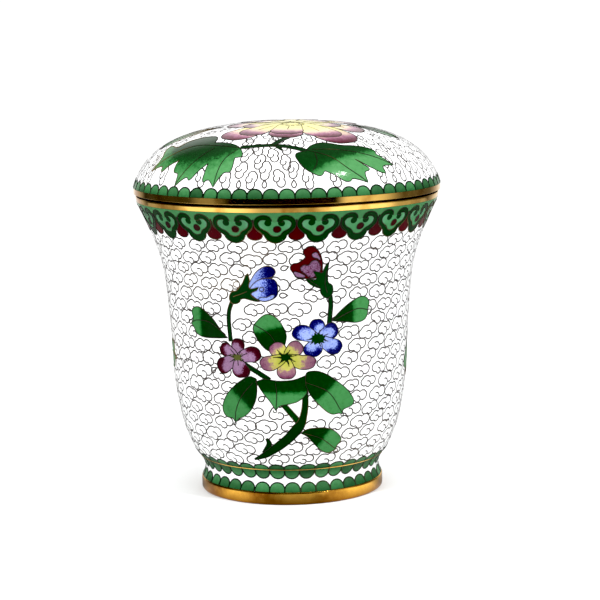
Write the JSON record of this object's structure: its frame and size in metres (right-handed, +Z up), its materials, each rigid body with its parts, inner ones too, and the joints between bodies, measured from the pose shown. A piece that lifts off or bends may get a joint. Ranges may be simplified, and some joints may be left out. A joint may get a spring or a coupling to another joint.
{
  "type": "lidded jar",
  "caption": "Bell-shaped enamelled jar on a coved foot, with brass rims and a domed lid whose collar drops inside the mouth.",
  "frame": {"origin": "on the jar's axis, in the plane that the foot stands on", "axes": "+Z up along the jar's axis; the front of the floral spray faces -Y"},
  "size_m": [0.1, 0.1, 0.1208],
  "materials": {
    "white_enamel": "glossy white enamel on copper",
    "green_enamel": "glossy green enamel on copper",
    "gilt_brass": "polished gilt brass, slightly tarnished"
  },
  "bodies": {
    "root": {"foot_rim": "gilt_brass", "foot_ring": "green_enamel", "jar_body": "white_enamel", "mouth_rim": "gilt_brass", "lid_rim": "gilt_brass", "lid": "white_enamel"}
  },
  "joints": []
}
